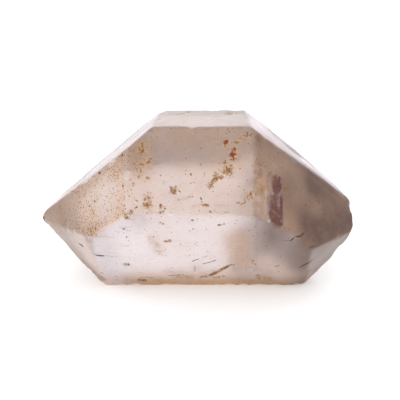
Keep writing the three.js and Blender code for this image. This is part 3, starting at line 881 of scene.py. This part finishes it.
# The quartz: how it bends and takes up light, and the colours of what lies on it
quartzLook = {
    "refraction": 1.544,
    "roughness": 0.34,
    "transmission": 0.9,
    "absorbColour": (0.76, 0.605, 0.50, 1),
    "absorbDensity": 50.0,
    "bumpStrength": 0.3,
    "bumpDistance": 0.00006,
    "clearTint": (0.905, 0.905, 0.965, 1),
    "smokeTint": (0.10, 0.038, 0.020, 1),
    # Tan, also used as painted shade
    "tanAndShadeTint": (0.75, 0.47, 0.23, 1),
    "smearTint": (0.28, 0.15, 0.085, 1),
    # Milky white, partly painted reflection and highlight
    "milkAndReflectionTint": (0.99, 0.895, 0.955, 1),
    # Dark red of the bruise, also painted as shade on the broken patch's right wall
    "bruise": (0.105, 0.017, 0.008, 1),
    "rust": (0.185, 0.065, 0.012, 1),
    "rustPale": (0.45, 0.235, 0.07, 1),
    "rustDark": (0.08, 0.02, 0.004, 1),
    "red": (0.175, 0.017, 0.004, 1),
    "dark": (0.06, 0.017, 0.007, 1),
    "freckle": (0.13, 0.055, 0.03, 1),
    "palerFreckle": (0.27, 0.12, 0.05, 1),
}

# The noises that break the masks up: scale per metre, detail and roughness, and for some a stretch in X, Y, Z
grains = {
    "cloud": (220, 3.0, 0.5),
    "growthLines": (900, 3.0, 0.5, 3.0, 0.16, 0.16),
    "patches": (160, 3.0, 0.5),
    "speckle": (2400, 4.0, 0.7),
    "smear": (700, 5.0, 0.65),
    "milkAndReflection": (500, 4.0, 0.5),
    "rust": (4400, 5.0, 0.7),
    "rustHaze": (1300, 4.0, 0.6),
    "rustSpecks": (6500, 3.0, 0.6),
    "red": (3600, 4.0, 0.7),
    "dark": (1800, 3.0, 0.5),
    "bruise": (800, 5.0, 0.6),
    "streaks": (1700, 2.0, 0.5, 0.2, 1.0, 1.0),
    "pepper": (2600, 4.0, 0.75),
    "frost": (300, 4.0, 0.5),
    "etching": (2400, 3.0, 0.6),
    "freckleCells": 4700,
}

# How much of each mask shows. A pair under rise is where a smooth step starts and ends
shares = {
    "smoke": {"least": 0.85, "cloud": 0.2, "rise": (0.3, 0.7)},
    "tanAndShade": {"patches": 0.35, "lines": 0.5, "speckle": 1.1},
    "smear": {"least": 0.55, "rise": (0.35, 0.65)},
    "milkAndReflection": {"least": 0.8, "cloud": 0.4},
    "rust": {"level": 0.65, "fall": 0.27, "least": 0.46, "rise": (0.0, 0.06), "edge": (0.02, 0.12),
             "specks": (0.52, 0.62), "inSmoke": 0.7},
    "haze": {"least": 0.35, "rise": (0.3, 0.65), "edge": (0.02, 0.75), "amount": 0.8},
    "red": {"level": 0.76, "fall": 0.38, "rise": (0.0, 0.1)},
    "dark": {"break": 0.7, "rise": (0.25, 0.7)},
    "bruise": {"break": 1.1, "rise": (0.0, 0.66), "amount": 0.95, "edge": (0.05, 0.3)},
    "freckle": {"allowed": 0.8, "size": 0.12, "sizeGain": 0.3, "rise": (0.0, 0.1), "amount": 0.88,
                "paler": (0.5, 0.8)},
    "streaks": {"rise": (0.64, 0.74), "amount": 0.32},
    "pepper": {"rise": (0.45, 0.68), "amount": 0.16},
    "opaque": {"dark": 0.9, "bruise": 0.8, "milkAndReflection": 0.9, "tanAndShade": 0.22, "smear": 0.22, "most": 0.92},
    "rough": {"opaque": 0.3, "frost": 0.16},
    "relief": {"lines": 0.5, "etching": 0.4, "freckle": 0.8},
}


def tintedQuartz(desk, smoke, tanAndShade, smear, milkAndReflection, lines):
    # The clear tint, laid over in turn with tan and painted shade, smoke, smears, milk and painted reflection,
    # hairline streaks and pepper
    look, own = quartzLook, shares["tanAndShade"]
    mottle = desk.plus(desk.times(desk.noise("patches"), own["patches"]), desk.times(lines, own["lines"]))
    mottle = desk.plus(mottle, desk.times(desk.noise("speckle"), own["speckle"]))
    tint = desk.blend(desk.times(tanAndShade, mottle), look["clearTint"], look["tanAndShadeTint"])
    own = shares["smoke"]
    cloud = desk.rise(desk.noise("cloud"), *own["rise"])
    smokeAmount = desk.times(smoke, desk.plus(own["least"], desk.times(cloud, own["cloud"])))
    tint = desk.blend(smokeAmount, tint, look["smokeTint"])
    own = shares["smear"]
    smearBreak = desk.plus(own["least"], desk.rise(desk.noise("smear"), *own["rise"]))
    tint = desk.blend(desk.times(smear, smearBreak), tint, look["smearTint"])
    own = shares["milkAndReflection"]
    milkAndReflectionAmount = desk.times(milkAndReflection, desk.plus(own["least"], desk.times(desk.noise("milkAndReflection"), own["cloud"])))
    tint = desk.blend(milkAndReflectionAmount, tint, look["milkAndReflectionTint"])
    for name in ("streaks", "pepper"):
        amount = desk.rise(desk.noise(name), *shares[name]["rise"])
        tint = desk.blend(desk.times(amount, shares[name]["amount"]), tint, look["smearTint"])
    return tint, milkAndReflectionAmount


def rustOnSkin(desk, rust, smoke):
    # Grains where a fine noise rises above a level that falls inside each stroke, in a paler haze
    look, own, haze = quartzLook, shares["rust"], shares["haze"]
    level = desk.largest(own["least"], desk.minus(own["level"], desk.times(rust, own["fall"])))
    grain = desk.rise(desk.minus(desk.noise("rust"), level), *own["rise"])
    grain = desk.times(grain, desk.rise(rust, *own["edge"]))
    hazeBreak = desk.plus(haze["least"], desk.rise(desk.noise("rustHaze"), *haze["rise"]))
    hazeAmount = desk.times(desk.times(desk.rise(rust, *haze["edge"]), hazeBreak), haze["amount"])
    colour = desk.blend(grain, look["rustPale"], look["rust"])
    colour = desk.blend(desk.times(smoke, own["inSmoke"]), colour, look["rust"])
    specks = desk.times(desk.rise(desk.noise("rustSpecks"), *own["specks"]), grain)
    return desk.largest(grain, hazeAmount), desk.blend(specks, colour, look["rustDark"])


def frecklesOnSkin(desk, freckles):
    # A small dark dot in each cell that the mask allows, of a random size
    own = shares["freckle"]
    distance, (pick, size, tone) = desk.cells(grains["freckleCells"])
    allowed = desk.combine("LESS_THAN", pick, desk.times(freckles, own["allowed"]))
    dotSize = desk.plus(own["size"], desk.times(size, own["sizeGain"]))
    dot = desk.minus(1.0, desk.rise(desk.minus(distance, dotSize), *own["rise"]))
    colour = desk.blend(desk.rise(tone, *own["paler"]), quartzLook["freckle"], quartzLook["palerFreckle"])
    return desk.times(desk.times(dot, allowed), own["amount"]), colour


def brokenEdge(desk, mask, name):
    # A mask with noise about zero added, so that its edge frays, then a smooth step
    own = shares[name]
    fray = desk.times(desk.minus(desk.noise(name), 0.5), own["break"])
    return desk.rise(desk.plus(mask, fray), *own["rise"])


def quartzMaterial():
    # Tinted, frosted quartz with stains on it: the more a stain covers, the less light goes through
    desk = NodeDesk("citrineQuartz")
    look, own = quartzLook, shares["opaque"]
    rust, red, dark = desk.channels("stains")
    # Zones: freckles, smoke, and tan with painted shade. Veils: smears, the bruise with painted shade on the
    # broken patch's wall, and milk with painted reflection
    freckles, smoke, tanAndShade = desk.channels("zones")
    smear, bruise, milkAndReflection = desk.channels("veils")
    lines = desk.noise("growthLines")

    tint, milkAndReflectionAmount = tintedQuartz(desk, smoke, tanAndShade, smear, milkAndReflection, lines)
    rustAmount, rustColour = rustOnSkin(desk, rust, smoke)
    freckleAmount, freckleColour = frecklesOnSkin(desk, freckles)
    redLevel = desk.minus(shares["red"]["level"], desk.times(red, shares["red"]["fall"]))
    redAmount = desk.rise(desk.minus(desk.noise("red"), redLevel), *shares["red"]["rise"])
    darkAmount = brokenEdge(desk, dark, "dark")
    bruiseAmount = desk.times(brokenEdge(desk, bruise, "bruise"), shares["bruise"]["amount"])
    bruiseAmount = desk.times(bruiseAmount, desk.rise(bruise, *shares["bruise"]["edge"]))

    # The bruise goes on first, with its painted shade on the broken patch's wall
    colour = desk.blend(bruiseAmount, tint, look["bruise"])
    for amount, over in ((rustAmount, rustColour), (freckleAmount, freckleColour), (redAmount, look["red"]),
                         (darkAmount, look["dark"])):
        colour = desk.blend(amount, colour, over)
    opaque = desk.largest(rustAmount, redAmount, freckleAmount, desk.times(darkAmount, own["dark"]),
                          desk.times(bruiseAmount, own["bruise"]), desk.times(milkAndReflectionAmount, own["milkAndReflection"]),
                          desk.times(tanAndShade, own["tanAndShade"]), desk.times(smear, own["smear"]))
    clear = desk.times(desk.minus(1.0, desk.times(opaque, own["most"])), look["transmission"])
    rough = desk.plus(look["roughness"], desk.times(opaque, shares["rough"]["opaque"]))
    frost = desk.times(desk.minus(desk.noise("frost"), 0.5), shares["rough"]["frost"])

    shader = desk.shader.inputs
    desk.join(colour, shader["Base Color"])
    desk.join(clear, shader["Transmission Weight"])
    desk.join(desk.plus(rough, frost), shader["Roughness"])
    shader["IOR"].default_value = look["refraction"]

    # Fine relief that is too small for the mesh: growth lines and etching, less the freckles, which are pits
    own = shares["relief"]
    relief = desk.plus(desk.times(lines, own["lines"]), desk.times(desk.noise("etching"), own["etching"]))
    relief = desk.minus(relief, desk.times(freckleAmount, own["freckle"]))
    bump = desk.add("ShaderNodeBump")
    bump.inputs["Strength"].default_value = look["bumpStrength"]
    bump.inputs["Distance"].default_value = look["bumpDistance"]
    desk.join(relief, bump.inputs["Height"])
    desk.join(bump.outputs["Normal"], shader["Normal"])

    absorption = desk.add("ShaderNodeVolumeAbsorption")
    absorption.inputs["Color"].default_value = look["absorbColour"]
    absorption.inputs["Density"].default_value = look["absorbDensity"]
    desk.join(absorption.outputs["Volume"], desk.output.inputs["Volume"])
    print("quartz material:", len(desk.tree.nodes), "nodes")
    return desk.material


def makeCrystal():
    points, triangles = settledSkin()
    crystal = meshPiece("citrineCrystal", (points + habit["middleAt"]) * mm, triangles, markings(points))
    crystal.data.materials.append(quartzMaterial())
    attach(crystal, "root")
    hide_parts("citrine_crystal")
    print("crystal:", len(points), "points and", len(triangles), "triangles")


# Studio: a pale floor just under the crystal, a white sky and soft lamps. Places are in metres, power in watts
studio = {
    "floorSize": 1.6,
    "floorHeight": -0.00002,
    "floorPoints": 9,
    "floorColour": (0.96, 0.96, 0.962, 1),
    "floorRoughness": 0.7,
    "floorGlow": 0.2,
    "white": (1, 1, 1, 1),
    "skyStrength": 1.05,
    "lampsAimAt": (0, 0, 0.012),
    "lamps": [
        {"name": "topSoftbox", "at": (-0.05, 0.02, 0.42), "size": 0.7, "power": 0.35},
        {"name": "backSoftbox", "at": (0.0, 0.42, 0.17), "size": 0.3, "power": 0.11},
        {"name": "leftSoftbox", "at": (-0.36, -0.2, 0.2), "size": 0.25, "power": 0.2},
    ],
}


def makeFloor():
    # A flat square grid of points, joined in squares
    count = studio["floorPoints"]
    line = np.linspace(-studio["floorSize"], studio["floorSize"], count)
    u, v = np.meshgrid(line, line, indexing="ij")
    points = np.stack([u.ravel(), v.ravel(), np.full(u.size, studio["floorHeight"])], 1)
    corner = (np.arange(count - 1)[:, None] * count + np.arange(count - 1)).ravel()
    quads = np.stack([corner, corner + count, corner + count + 1, corner + 1], 1)
    floor = meshPiece("studioFloor", points, quads)
    desk = NodeDesk("paleFloor")
    desk.shader.inputs["Base Color"].default_value = studio["floorColour"]
    desk.shader.inputs["Roughness"].default_value = studio["floorRoughness"]
    desk.shader.inputs["Emission Color"].default_value = studio["white"]
    desk.shader.inputs["Emission Strength"].default_value = studio["floorGlow"]
    floor.data.materials.append(desk.material)
    print("floor laid")


def makeLights():
    world = bpy.data.worlds.new("whiteSky")
    world.use_nodes = True
    sky = world.node_tree.nodes["Background"].inputs
    sky["Color"].default_value = studio["white"]
    sky["Strength"].default_value = studio["skyStrength"]
    bpy.context.scene.world = world
    target = Vector(studio["lampsAimAt"])
    for lamp in studio["lamps"]:
        light = bpy.data.lights.new(lamp["name"], "AREA")
        light.size, light.energy = lamp["size"], lamp["power"]
        holder = bpy.data.objects.new(lamp["name"], light)
        holder.location = lamp["at"]
        holder.rotation_euler = (target - holder.location).to_track_quat("-Z", "Y").to_euler()
        bpy.context.collection.objects.link(holder)
    print("lamps hung:", len(studio["lamps"]))


# The camera looks down on the crystal from the front, as in the photograph. Distance and offsets in mm
viewpoint = {"distance": 75.1, "elevation": 18.73, "swing": -1.4, "roll": 0.56, "lens": 45.05,
             "filmWidth": 36, "nearest": 0.002, "aimOffset": (-0.055, 0.047)}


def makeCamera():
    up, swing = math.radians(viewpoint["elevation"]), math.radians(viewpoint["swing"])
    back = Vector((-math.cos(up) * math.sin(swing), -math.cos(up) * math.cos(swing), math.sin(up)))
    turn = (-back).to_track_quat("-Z", "Y").to_matrix().to_4x4()
    aim = Vector(habit["middleAt"]) + turn.to_3x3() @ Vector((*viewpoint["aimOffset"], 0))
    camera = bpy.data.cameras.new("photoCamera")
    camera.lens, camera.sensor_width = viewpoint["lens"], viewpoint["filmWidth"]
    camera.clip_start = viewpoint["nearest"]
    holder = bpy.data.objects.new("photoCamera", camera)
    place = Matrix.Translation((aim + back * viewpoint["distance"]) * mm)
    holder.matrix_world = place @ turn @ Matrix.Rotation(-math.radians(viewpoint["roll"]), 4, "Z")
    bpy.context.collection.objects.link(holder)
    bpy.context.scene.camera = holder
    print("camera set")


def renderSettings():
    # Plain tones, and enough bounces for light to cross the crystal
    bounces = 24
    scene = bpy.context.scene
    scene.view_settings.view_transform = "Standard"
    scene.cycles.max_bounces = bounces
    scene.cycles.transmission_bounces = bounces


makeCamera()
makeFloor()
makeLights()
renderSettings()
makeCrystal()
